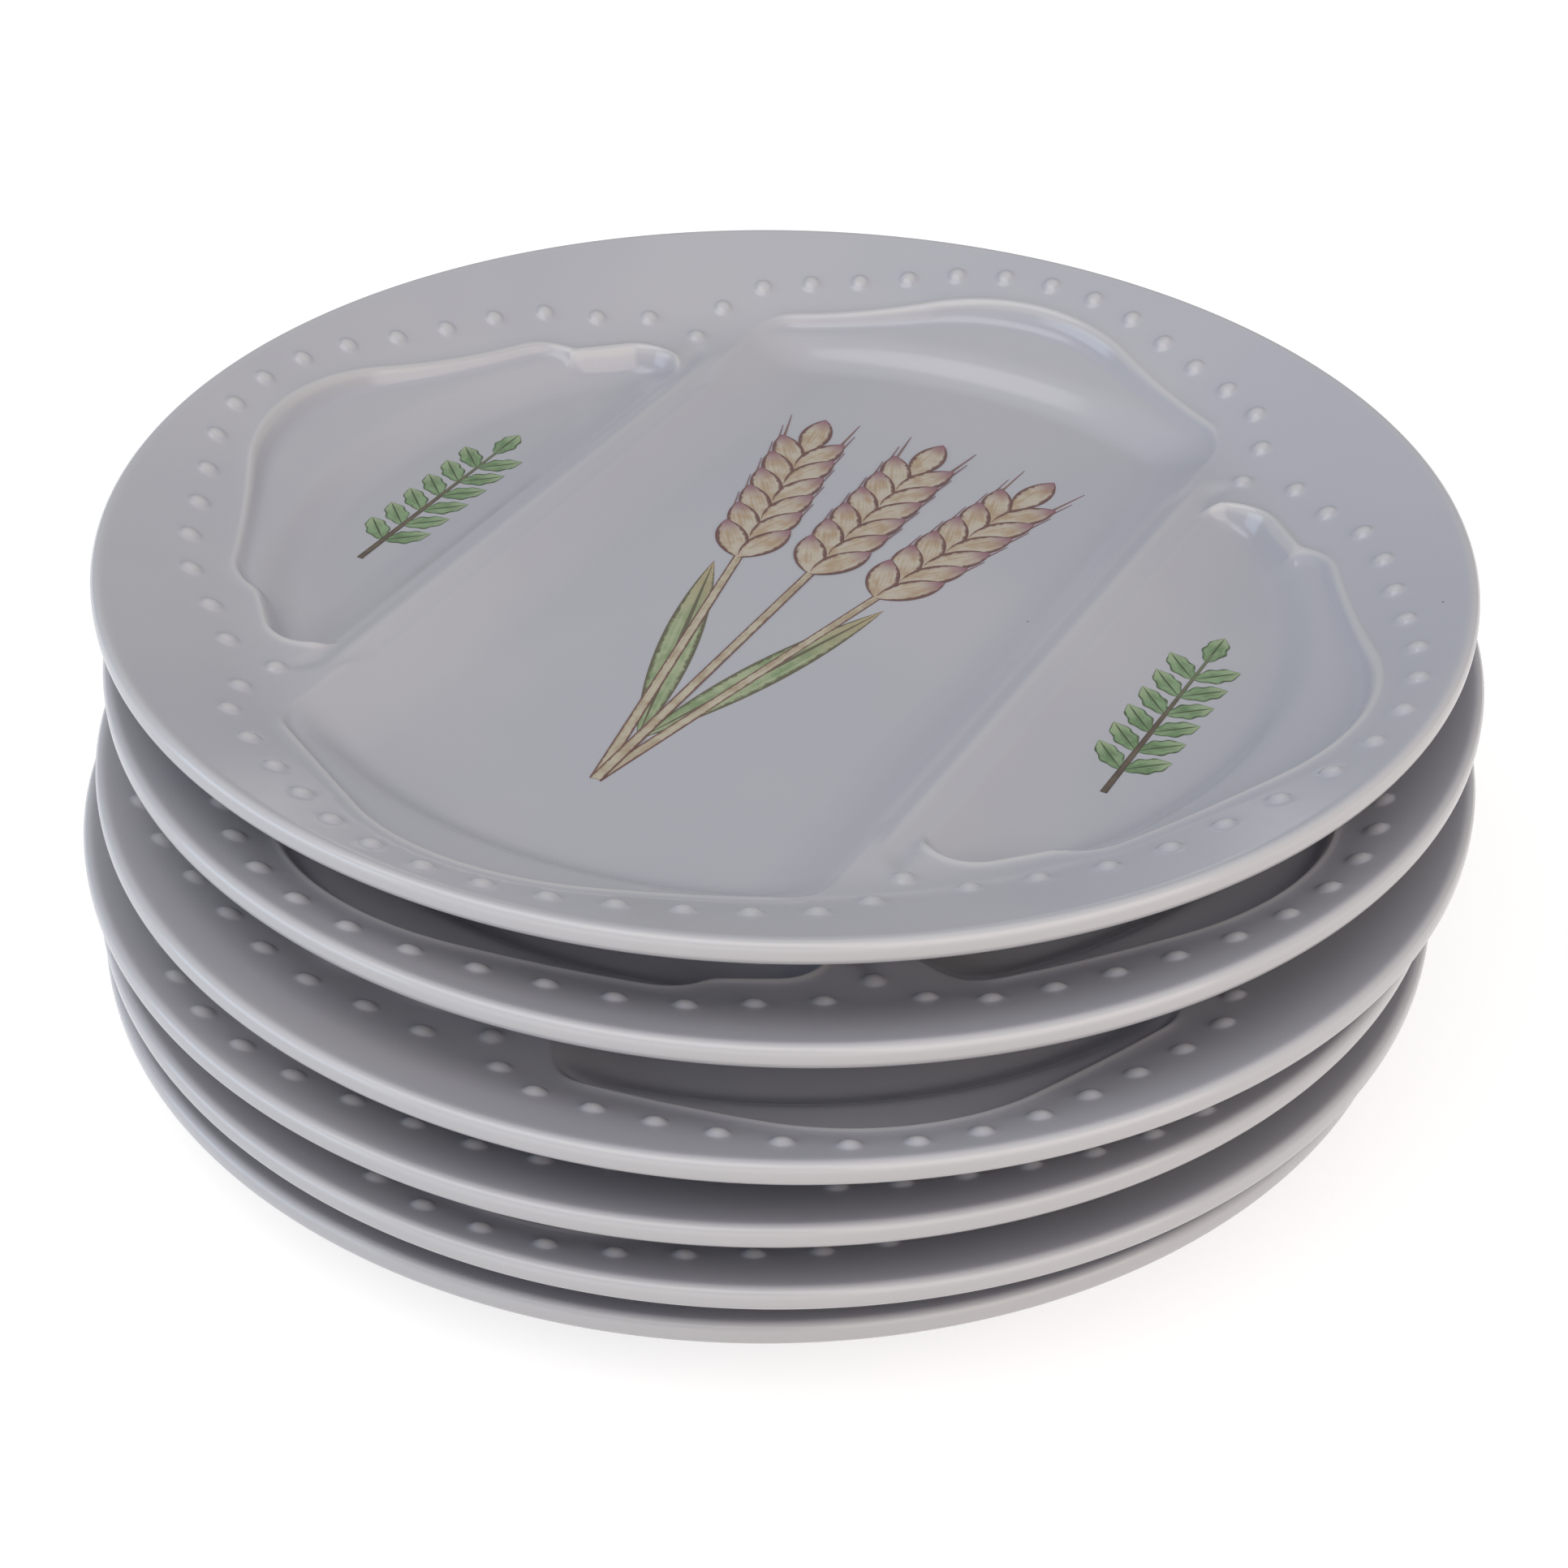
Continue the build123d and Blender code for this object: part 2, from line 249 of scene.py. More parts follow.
def sideWalk(step):
    # in (across, along), turned to (x, y) at the end
    angle = cuspAngle(0.0)
    cusp = arcEnd(turnCentre(wellForm["sideShoulder"]), wellForm["shoulderRadius"], angle)
    lobeStart = arcEnd(lobeCentre, wellForm["lobeRadius"], lobeLean)
    lean = (math.cos(lobeLean), math.sin(lobeLean))
    parts = scallopWalk(wellForm["sideShoulder"], angle, step)
    parts.append(walkLine(cusp, lobeStart, lean, step))
    parts.append(walkArc(lobeCentre, wellForm["lobeRadius"], lobeLean, math.pi, step))
    parts.append(walkLine((dividerLine, lobeCentre[1]), (dividerLine, 0.0), (-1.0, 0.0), step))
    points = np.concatenate([p for p, n in parts])
    normals = np.concatenate([n for p, n in parts])
    return points[:, ::-1], normals[:, ::-1]


def mirrorFour(points):
    return np.concatenate([points * np.array(sign) for sign in ((1, 1), (-1, 1), (1, -1), (-1, -1))])


def evenWalk(points, count):
    # points spaced evenly along an open line
    runs = np.concatenate([[0.0], np.cumsum(np.linalg.norm(np.diff(points, axis=0), axis=1))])
    marks = np.linspace(0.0, runs[-1], count + 1)
    return np.stack([np.interp(marks, runs, points[:, 0]), np.interp(marks, runs, points[:, 1])], 1)


def placeBeads():
    grow, fine = beadForm["offset"], beadForm["lineStep"]
    sideLine = centreShoulder + grow
    beside = sideLine - lobeCentre[0]
    lobeRadius = wellForm["lobeRadius"] + grow
    notch = (lobeCentre[1] + math.sqrt(lobeRadius ** 2 - beside ** 2), sideLine)
    notchAngle = math.atan2(notch[0] - lobeCentre[1], beside)
    endParts = scallopWalk(centreShoulder, math.pi / 2, fine, grow)
    endLine = np.concatenate([p for p, n in endParts] + [np.array([notch])])
    angle = cuspAngle(grow)
    cusp = arcEnd(turnCentre(wellForm["sideShoulder"]), wellForm["shoulderRadius"] + grow, angle)
    lobeStart = arcEnd(lobeCentre, lobeRadius, lobeLean)
    sideParts = scallopWalk(wellForm["sideShoulder"], angle, fine, grow)
    sideParts.append(walkLine(cusp, lobeStart, (0.0, 0.0), fine))
    sideParts.append(walkArc(lobeCentre, lobeRadius, lobeLean, notchAngle, fine))
    sideLinePoints = np.concatenate([p[:, ::-1] for p, n in sideParts] + [np.array([notch])])
    points = np.concatenate([
        evenWalk(endLine, beadForm["perEndHalf"]),
        evenWalk(sideLinePoints, beadForm["perSideHalf"])[:-1],
    ])
    return np.unique(mirrorFour(points).round(6) + 0.0, axis=0)


beads = placeBeads()
print("beads on each rim:", len(beads))


def dishHeight(x, y):
    # height of the glazed upper face
    radius = np.hypot(x, y)
    land = dishForm["landHeight"]
    floor = dishForm["floorHeight"]
    beside = np.abs(np.abs(y) - wellForm["dividerOffset"])
    fall = np.hypot(beside, wellForm["crestRound"]) - wellForm["crestRound"]
    fall = np.minimum(fall * wellForm["crestSlope"], wellForm["crestDrop"])
    centre, side = centreReach(x, y), sideReach(x, y)
    fadeFrom, fadeTo = wellForm["crestFade"]
    between = np.clip((fadeTo - np.maximum(centre, side)) / (fadeTo - fadeFrom), 0.0, 1.0)
    between = between ** 2 * (3.0 - 2.0 * between)
    rim = softMax(rimLine(radius), land - fall * between, glazeSoftness["land"])
    ledgeRise = math.tan(math.radians(dishForm["ledgeSlope"]))
    vergeRise = math.tan(math.radians(dishForm["vergeSlope"]))
    edgeHeight = rimLine(wellForm["reach"]) - dishForm["ledgeDrop"]
    shoulder = edgeHeight - (wellForm["reach"] - dishForm["vergeRadius"]) * ledgeRise
    ledge = shoulder + (radius - dishForm["vergeRadius"]) * ledgeRise
    verge = shoulder + (radius - dishForm["vergeRadius"]) * vergeRise
    bowl = softMax(softMin(verge, ledge, glazeSoftness["shoulder"]), floor, glazeSoftness["floor"])
    run = (wellForm["dividerFoot"] - wellForm["dividerTop"]) / 2
    away = beside - wellForm["dividerTop"] / 2
    ridge = land - away * (land - floor) / run
    well = softMax(bowl, ridge, glazeSoftness["divider"])
    centreWell = softMax(well, land + centre / draft, glazeSoftness["wallFoot"])
    sideWell = softMax(well, land + side / draft, glazeSoftness["wallFoot"])
    height = softMin(rim, np.minimum(centreWell, sideWell), glazeSoftness["wallTop"])
    beyond = np.minimum(centre, side) - (rim - land) * draft
    welt = wellForm["weltHeight"] * np.exp(-((beyond - wellForm["weltOffset"]) / wellForm["weltWidth"]) ** 2)
    fadeFrom, fadeTo = wellForm["weltFade"]
    height = height + welt * np.clip((rim - well - fadeFrom) / (fadeTo - fadeFrom), 0.0, 1.0)
    for bead in beads:
        near = (np.abs(x - bead[0]) < beadForm["reach"]) & (np.abs(y - bead[1]) < beadForm["reach"])
        apart = np.hypot(x[near] - bead[0], y[near] - bead[1])
        size = beadForm["radius"]
        dome = np.sqrt(np.maximum(size ** 2 - apart ** 2, 0.0)) - (size - beadForm["height"])
        height[near] += softMax(dome, np.zeros_like(dome), glazeSoftness["bead"])
    return height


def bandPoints(points, normals, reach):
    # rows of points beside a well's edge, following it up the sloping rim
    rows = []
    grow = np.zeros(len(points))
    for turn in range(4):
        moved = points + normals * grow[:, None]
        rim = np.maximum(rimLine(np.hypot(moved[:, 0], moved[:, 1])), dishForm["landHeight"])
        grow = (rim - dishForm["landHeight"]) * draft
    for band in reliefGrid["bands"]:
        row = points + normals * (grow + band)[:, None]
        true = np.abs(reach(row[:, 0], row[:, 1]) - (grow + band)) < reliefGrid["bandSlack"]
        rows.append(row[true])
    return np.concatenate(rows)


def samplePoints():
    edge = dishForm["topRadius"]
    gridGap, pointGap = reliefGrid["borderGaps"]
    angles = np.arange(dishForm["turnSteps"]) * 2 * math.pi / dishForm["turnSteps"]
    border = edge * np.stack([np.cos(angles), np.sin(angles)], 1)
    step = reliefGrid["spacing"]
    rowStep = step * reliefGrid["rowShare"]
    rows = int(edge / rowStep) + 1
    cells = []
    for row in range(-rows, rows + 1):
        shift = step / 2 if row % 2 else 0.0
        xs = np.arange(-edge, edge, step) + shift
        cells.append(np.stack([xs, np.full(len(xs), row * rowStep)], 1))
    cells = np.concatenate(cells)
    cells = cells[np.hypot(cells[:, 0], cells[:, 1]) < edge - gridGap]
    rim = np.maximum(rimLine(np.hypot(cells[:, 0], cells[:, 1])), dishForm["landHeight"])
    grow = (rim - dishForm["landHeight"]) * draft
    bands, (innerGap, outerGap) = reliefGrid["bands"], reliefGrid["bandGaps"]
    free = np.ones(len(cells), bool)
    for reach in (centreReach, sideReach):
        beyond = reach(cells[:, 0], cells[:, 1]) - grow
        free &= (beyond < bands[0] - innerGap) | (beyond > bands[-1] + outerGap)
    for bead in beads:
        free &= np.hypot(cells[:, 0] - bead[0], cells[:, 1] - bead[1]) > reliefGrid["beadGap"]
    rings = []
    for size, count in reliefGrid["beadRings"]:
        turn = np.arange(count) * 2 * math.pi / count
        ring = size * np.stack([np.cos(turn), np.sin(turn)], 1)
        rings.append((beads[:, None, :] + ring[None, :, :]).reshape(-1, 2))
    walks = [(centreWalk, centreReach), (sideWalk, sideReach)]
    edges = [mirrorFour(bandPoints(*walk(reliefGrid["along"]), reach)) for walk, reach in walks]
    points = np.concatenate([border] + rings + edges + [cells[free]])
    inside = np.hypot(points[:, 0], points[:, 1]) < edge - pointGap
    inside[:len(border)] = True
    points = points[inside]
    keys = np.floor(points / reliefGrid["cell"]).astype(int)
    first = np.unique(keys, axis=0, return_index=True)[1]
    keep = np.union1d(first, np.arange(len(border)))
    return points[keep]


def reliefMesh():
    points = samplePoints()
    cut = delaunay_2d_cdt([Vector(p) for p in points], [], [], 0, reliefGrid["merge"])
    plan, faces = np.array([tuple(p) for p in cut[0]]), cut[2]
    heights = dishHeight(plan[:, 0], plan[:, 1])
    border = np.abs(np.hypot(plan[:, 0], plan[:, 1]) - dishForm["topRadius"]) < 1e-3
    heights[border] = rimLine(dishForm["topRadius"])
    mesh = bpy.data.meshes.new("relief")
    mesh.from_pydata([(p[0], p[1], z) for p, z in zip(plan, heights)], [], faces)
    print("relief:", len(plan), "points,", len(faces), "faces")
    return mesh


def roundCorner(bm, vert, radius, segments):
    one, two = [(e.other_vert(vert).co - vert.co).normalized() for e in vert.link_edges]
    offset = radius / math.tan(one.angle(two) / 2)
    bmesh.ops.bevel(
        bm, geom=[vert], offset=offset, affect="VERTICES", segments=segments, profile=0.5, material=-1)


def dishMesh():
    # the relief, joined to the turned lip, underside and foot
    d = dishForm
    footInner = d["footRadius"] - d["footWidth"]
    thick = d["edgeRadius"] - d["lipUnderWidth"]
    line = [
        (d["topRadius"], rimLine(d["topRadius"]), 0, 0),
        (d["edgeRadius"], d["rimEdge"], d["lipTopRound"], d["lipSteps"]),
        (d["edgeRadius"], d["rimEdge"] - d["lipThickness"], d["lipUnderRound"], d["lipSteps"]),
        (thick, rimLine(thick) - d["rimThickness"], d["turnRound"], d["roundSteps"]),
        (d["turnRadius"], rimLine(d["turnRadius"]) - d["rimThickness"], d["turnRound"], d["roundSteps"]),
        (d["footRadius"], 0.0, d["footRound"], d["roundSteps"]),
        (footInner, 0.0, d["footRound"], d["roundSteps"]),
        (footInner - d["footDraft"], d["footHeight"], d["footInnerRound"], d["roundSteps"]),
        (0.0, d["footHeight"], 0, 0),
    ]
    bm = bmesh.new()
    verts = [bm.verts.new((r, 0.0, z)) for r, z, rounding, segments in line]
    for a, b in zip(verts[:-1], verts[1:]):
        bm.edges.new((a, b))
    for vert, (r, z, rounding, segments) in zip(verts, line):
        if rounding:
            roundCorner(bm, vert, rounding, segments)
    bmesh.ops.spin(
        bm, geom=bm.verts[:] + bm.edges[:], axis=(0, 0, 1), cent=(0, 0, 0),
        steps=d["turnSteps"], angle=2 * math.pi, use_merge=True)
    bm.from_mesh(reliefMesh())
    bmesh.ops.remove_doubles(bm, verts=bm.verts[:], dist=d["weld"])
    bmesh.ops.recalc_face_normals(bm, faces=bm.faces[:])
    openEdges = sum(1 for e in bm.edges if len(e.link_faces) != 2)
    print("dish:", len(bm.verts), "points,", openEdges, "open edges")
    for face in bm.faces:
        face.smooth = True
        bare = all(v.co.z < d["bareBelow"] for v in face.verts)
        face.material_index = 1 if bare else 0
    mesh = bpy.data.meshes.new("dish")
    bm.to_mesh(mesh)
    bm.free()
    markShadeAndHighlight(mesh)
    return mesh


def markShadeAndHighlight(mesh):
    # how far each point lies below its surroundings: painted shade goes in the hollows, painted highlight on
    # edges, beads and the lip
    places = np.empty(len(mesh.vertices) * 3)
    mesh.vertices.foreach_get("co", places)
    x, y, z = places.reshape(-1, 3).T
    reach, edge = glazeFinish["shadingReach"], dishForm["topRadius"]
    turns = np.arange(8) * math.pi / 4
    around = sum(dishHeight(x + reach * math.cos(t), y + reach * math.sin(t)) for t in turns) / 8
    radius = np.hypot(x, y)
    upper = (np.abs(dishHeight(x, y) - z) < glazeFinish["shadingSlack"]) & (radius < edge - reach)
    # the lip is marked for the full painted highlight
    lip = np.clip((radius - edge) / (dishForm["edgeRadius"] - edge), 0.0, 1.0)
    lip[z < dishForm["rimEdge"] - dishForm["lipThickness"]] = 0.0
    # positive values carry painted shade in hollows, negative values painted highlight on edges, beads and
    # lip
    shadeAndHighlight = mesh.attributes.new("shadeAndHighlight", "FLOAT", "POINT")
    shadeAndHighlight.data.foreach_set("value", np.where(upper, around - z, -glazeFinish["lipHighlight"] * lip))


glazeFinish = {
    "white": (0.468, 0.458, 0.488, 1.0),
    "shade": (0.440, 0.434, 0.474, 1.0),
    # painted highlight colour for convex edges, beads and the lip
    "edge": (0.520, 0.508, 0.520, 1.0),
    # painted shade colour for the hollows
    "hollowShade": (0.436, 0.432, 0.476, 1.0),
    "speck": (0.10, 0.09, 0.08, 1.0),
    "shadingReach": 2.4,        # mm
    "shadingSlack": 0.02,
    "shadeGain": 1.1,
    "highlightFrom": -0.1,
    "lipHighlight": 0.9,
    "mottle": 14.0,          # per metre
    "mottleRange": (0.35, 0.68),
    "rough": (0.14, 0.19),
    "roughGrain": 320.0,
    "ior": 1.5,
    "ripple": 60.0,
    "rippleDepth": 0.00035,
    "rippleStrength": 0.10,
    "specks": 45.0,
    "speckSize": 0.014,
}

bareFootFinish = {
    "dark": (0.36, 0.34, 0.31, 1.0),
    "light": (0.50, 0.48, 0.44, 1.0),
    "grain": 900.0,
    "rough": 0.85,
}

dish = dishMesh()


def nodesOf(material):
    material.use_nodes = True
    tree = material.node_tree
    return tree.nodes, tree.links, tree.nodes["Principled BSDF"]


def mixColor(nodes, links, share, first, second):
    # mix of two colours, each a colour or a socket
    mix = nodes.new("ShaderNodeMix")
    mix.data_type = "RGBA"
    links.new(share, mix.inputs["Factor"])
    for socket, value in ((mix.inputs[6], first), (mix.inputs[7], second)):
        if isinstance(value, tuple):
            socket.default_value = value
        else:
            links.new(value, socket)
    return mix.outputs[2]


def mapRange(nodes, links, value, fromLow, fromHigh, toLow=0.0, toHigh=1.0):
    ranged = nodes.new("ShaderNodeMapRange")
    ranged.interpolation_type = "SMOOTHSTEP"
    ranged.inputs["From Min"].default_value = fromLow
    ranged.inputs["From Max"].default_value = fromHigh
    ranged.inputs["To Min"].default_value = toLow
    ranged.inputs["To Max"].default_value = toHigh
    links.new(value, ranged.inputs["Value"])
    return ranged.outputs["Result"]


def noiseOf(nodes, links, vector, scale, detail):
    noise = nodes.new("ShaderNodeTexNoise")
    noise.inputs["Scale"].default_value = scale
    noise.inputs["Detail"].default_value = detail
    links.new(vector, noise.inputs["Vector"])
    return noise.outputs["Fac"]


def mathOf(nodes, links, operation, *values):
    # one math node, each value a number or a socket
    step = nodes.new("ShaderNodeMath")
    step.operation = operation
    for socket, value in zip(step.inputs, values):
        if isinstance(value, float):
            socket.default_value = value
        else:
            links.new(value, socket)
    return step.outputs["Value"]


def glazeMaterial():
    # white glaze: faint cloudy tint, painted highlight on edges, beads and lip, painted shade in hollows,
    # uneven gloss
    g = glazeFinish
    material = bpy.data.materials.new("whiteGlaze")
    nodes, links, shader = nodesOf(material)
    place = nodes.new("ShaderNodeTexCoord").outputs["Object"]
    shadeAndHighlight = nodes.new("ShaderNodeAttribute")
    shadeAndHighlight.attribute_name = "shadeAndHighlight"
    cloud = mapRange(nodes, links, noiseOf(nodes, links, place, g["mottle"], 3.0), *g["mottleRange"])
    color = mixColor(nodes, links, cloud, g["shade"], g["white"])
    # painted shade: darker, bluer tint in the hollows
    deep = mapRange(nodes, links, shadeAndHighlight.outputs["Fac"], 0.0, 1.0 / g["shadeGain"])
    color = mixColor(nodes, links, deep, color, g["hollowShade"])
    # painted highlight: lighter tint on convex edges, beads and the lip
    highlightShare = mapRange(nodes, links, shadeAndHighlight.outputs["Fac"], g["highlightFrom"], -g["lipHighlight"])
    color = mixColor(nodes, links, highlightShare, color, g["edge"])
    specks = nodes.new("ShaderNodeTexVoronoi")
    specks.inputs["Scale"].default_value = g["specks"]
    links.new(place, specks.inputs["Vector"])
    dark = mapRange(nodes, links, specks.outputs["Distance"], g["speckSize"], g["speckSize"] * 0.5)
    color = mixColor(nodes, links, dark, color, g["speck"])
    links.new(color, shader.inputs["Base Color"])
    gloss = noiseOf(nodes, links, place, g["roughGrain"], 2.0)
    rough = mapRange(nodes, links, gloss, 0.0, 1.0, *g["rough"])
    links.new(rough, shader.inputs["Roughness"])
    bump = nodes.new("ShaderNodeBump")
    bump.inputs["Strength"].default_value = g["rippleStrength"]
    bump.inputs["Distance"].default_value = g["rippleDepth"]
    links.new(noiseOf(nodes, links, place, g["ripple"], 1.0), bump.inputs["Height"])
    links.new(bump.outputs["Normal"], shader.inputs["Normal"])
    shader.inputs["IOR"].default_value = g["ior"]
    return material


def bareFootMaterial():
    # unglazed bisque under the foot ring
    f = bareFootFinish
    material = bpy.data.materials.new("bareFoot")
    nodes, links, shader = nodesOf(material)
    place = nodes.new("ShaderNodeTexCoord").outputs["Object"]
    grain = noiseOf(nodes, links, place, f["grain"], 2.0)
    links.new(mixColor(nodes, links, grain, f["dark"], f["light"]), shader.inputs["Base Color"])
    shader.inputs["Roughness"].default_value = f["rough"]
    return material


glaze = glazeMaterial()
bareFoot = bareFootMaterial()


def placeOf(number):
    # where a plate lies: its own frame, in metres, from its CAD box
    low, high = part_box(f"plate_{number}_dish")
    middle = (low + high) / 2
    turn = Matrix.Rotation(math.radians(stackForm["turns"][number - 1]), 4, "Z")
    return Matrix.Translation((middle.x, middle.y, low.z)) @ turn @ Matrix.Scale(mm, 4)


def addPiece(name, mesh, materials, body, slot, *replaced):
    for material in materials:
        mesh.materials.append(material)
    obj = bpy.data.objects.new(name, mesh)
    bpy.context.scene.collection.objects.link(obj)
    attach(obj, body)
    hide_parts(*replaced)
    return obj


plateCount = len(stackForm["turns"])
for number in range(1, plateCount + 1):
    mesh = dish.copy()
    mesh.name = f"plate{number}Dish"
    mesh.transform(placeOf(number))
    body = f"plate_{number}"
    addPiece(f"plate{number}.dish", mesh, [glaze, bareFoot], body, "white_glaze", f"{body}_dish")
print("dishes placed:", plateCount)

# prints fired into the floors: thin leaves of colour, each a hair above the last
printForm = {
    "sunk": 0.01,
    "film": 0.06,
    "step": 0.002,
    "leafSteps": (24, 4),
    "weld": 0.0005,
    "base": 70.0,
    "stalkLength": 80.0,
    "stalkWidth": 2.4,
    "stalkTaper": 0.35,
    "earLength": 60.0,
    "earRows": 6,
    "fanAngle": 11.0,
    "grainLength": 15.0,
    "grainWidth": 6.6,
    "grainAngle": 27.0,
    "awnLength": 13.0,
    "awnWidth": 0.55,
    "awnTaper": 0.8,
    "awnAngle": 8.0,
    "awnRoot": 0.9,          # up its grain
    "bladeLength": 64.0,
    "bladeWidth": 7.5,
    "bladeAngle": 17.0,
    "bladeStart": 14.0,
}

sprigForm = {
    "offset": 79.5,
    "length": 58.0,
    "stemWidth": 1.3,
    "stemTaper": 0.6,
    "stemEnd": 0.7,          # of a leaflet short of the tip
    "leafletLength": 9.6,
    "leafletWidth": 4.6,
    "leafletPairs": 6,
    "leafletAngle": 48.0,
    "leafletStart": 8.0,
    "teeth": 3,
    "toothDepth": 0.10,
}

# ink colours: pale and deep wash, drawn outline and an accent towards the tip
inkForms = {
    "grain": {
        "pale": (0.50, 0.44, 0.36, 1.0), "deep": (0.40, 0.29, 0.19, 1.0), "line": (0.155, 0.080, 0.072, 1.0),
        "accent": (0.25, 0.115, 0.16, 1.0), "accentFrom": 0.72, "lineFrom": 0.66, "rib": 0.0,
    },
    "stalk": {
        "pale": (0.49, 0.44, 0.34, 1.0), "deep": (0.36, 0.28, 0.19, 1.0), "line": (0.17, 0.095, 0.080, 1.0),
        "accent": (0.26, 0.14, 0.16, 1.0), "accentFrom": 0.90, "lineFrom": 0.58, "rib": 0.0,
    },
    "awn": {
        "pale": (0.26, 0.17, 0.13, 1.0), "deep": (0.18, 0.095, 0.085, 1.0), "line": (0.16, 0.085, 0.085, 1.0),
        "accent": (0.24, 0.11, 0.15, 1.0), "accentFrom": 0.50, "lineFrom": 0.80, "rib": 0.0,
    },
    "blade": {
        "pale": (0.36, 0.40, 0.25, 1.0), "deep": (0.20, 0.27, 0.14, 1.0), "line": (0.13, 0.12, 0.075, 1.0),
        "accent": (0.40, 0.31, 0.20, 1.0), "accentFrom": 0.70, "lineFrom": 0.70, "rib": 0.16,
    },
    "leaflet": {
        "pale": (0.24, 0.34, 0.19, 1.0), "deep": (0.125, 0.205, 0.095, 1.0),
        "line": (0.075, 0.105, 0.055, 1.0),
        "accent": (0.33, 0.40, 0.25, 1.0), "accentFrom": 0.60, "lineFrom": 0.78, "rib": 0.13,
    },
    "stem": {
        "pale": (0.15, 0.12, 0.085, 1.0), "deep": (0.095, 0.070, 0.055, 1.0),
        "line": (0.075, 0.050, 0.042, 1.0),
        "accent": (0.16, 0.20, 0.11, 1.0), "accentFrom": 0.60, "lineFrom": 0.70, "rib": 0.0,
    },
}


# how the inks are laid on
washForm = {
    "cloud": 260.0,
    "streaks": (2.0, 9.0, 1.0),
    "range": (0.80, 1.25),
    "accentSoft": 0.15,
    "accentEnd": 1.05,
    "shake": 0.22,
    "shakeGrain": 700.0,
    "lineSoft": 0.10,
    "rough": (0.18, 0.28),
}


def inkMaterial(name):
    # watercolour wash with a broken drawn outline, from each leaf's own map
    ink, w = inkForms[name], washForm
    material = bpy.data.materials.new(name + "Ink")
    nodes, links, shader = nodesOf(material)
    place = nodes.new("ShaderNodeTexCoord").outputs["Object"]
    own = nodes.new("ShaderNodeUVMap")
    own.uv_map = "leafMap"
    parts = nodes.new("ShaderNodeSeparateXYZ")
    links.new(own.outputs["UV"], parts.inputs["Vector"])
    along = parts.outputs["X"]
    across = mathOf(nodes, links, "SUBTRACT", parts.outputs["Y"], 0.5)
    across = mathOf(nodes, links, "ABSOLUTE", across)
    streaks = nodes.new("ShaderNodeMapping")
    streaks.inputs["Scale"].default_value = w["streaks"]
    links.new(own.outputs["UV"], streaks.inputs["Vector"])
    cloud = noiseOf(nodes, links, place, w["cloud"], 3.0)
    streak = noiseOf(nodes, links, streaks.outputs["Vector"], 1.0, 2.0)
    wash = mapRange(nodes, links, mathOf(nodes, links, "ADD", cloud, streak), *w["range"])
    color = mixColor(nodes, links, wash, ink["pale"], ink["deep"])
    tip = mapRange(nodes, links, along, ink["accentFrom"] - w["accentSoft"], w["accentEnd"])
    color = mixColor(nodes, links, tip, color, ink["accent"])
    shake = noiseOf(nodes, links, place, w["shakeGrain"], 2.0)
    shaky = mathOf(nodes, links, "MULTIPLY_ADD", shake, w["shake"], across)
    edge = ink["lineFrom"] / 2 + w["shake"] / 2
    drawn = mapRange(nodes, links, shaky, edge, edge + w["lineSoft"])
    color = mixColor(nodes, links, drawn, color, ink["line"])
    if ink["rib"]:
        rib = mapRange(nodes, links, across, ink["rib"] / 2, ink["rib"] / 4)
        color = mixColor(nodes, links, rib, color, ink["line"])
    links.new(color, shader.inputs["Base Color"])
    rough = mapRange(nodes, links, cloud, 0.0, 1.0, *w["rough"])
    links.new(rough, shader.inputs["Roughness"])
    return material


inks = {name: inkMaterial(name) for name in inkForms}
inkOrder = list(inkForms)


def lensHalf(length, width):
    # half width along a pointed oval drawn by two arcs
    radius = (length ** 2 + width ** 2) / (4 * width)
    rise = width / 2 - radius
    return lambda share: math.sqrt(max(radius ** 2 - ((share - 0.5) * length) ** 2, 0.0)) + rise


def leafletHalf(length, width):
    # the same oval with a few soft teeth
    plain = lensHalf(length, width)
    teeth, depth = sprigForm["teeth"], sprigForm["toothDepth"]
    return lambda share: plain(share) * (1.0 + depth * math.sin(share * teeth * 2 * math.pi))


def stripHalf(width, taper=0.0):
    return lambda share: width / 2 * (1.0 - taper * share)


def addLeaf(bm, length, half, place, ink):
    # one flat leaf along x, mapped from foot to tip and side to side
    along, across = printForm["leafSteps"]
    grid = bmesh.ops.create_grid(bm, x_segments=along, y_segments=across, size=0.5, calc_uvs=True)
    made = grid["verts"]
    for vert in made:
        share, side = vert.co.x + 0.5, vert.co.y * 2
        vert.co = place @ Vector((share * length, side * half(share), 0.0))
    for face in {f for v in made for f in v.link_faces}:
        face.material_index = inkOrder.index(ink)


def leafPlace(x, y, angle, level):
    lift = printForm["sunk"] + level * printForm["step"]
    return Matrix.Translation((x, y, lift)) @ Matrix.Rotation(angle, 4, "Z")


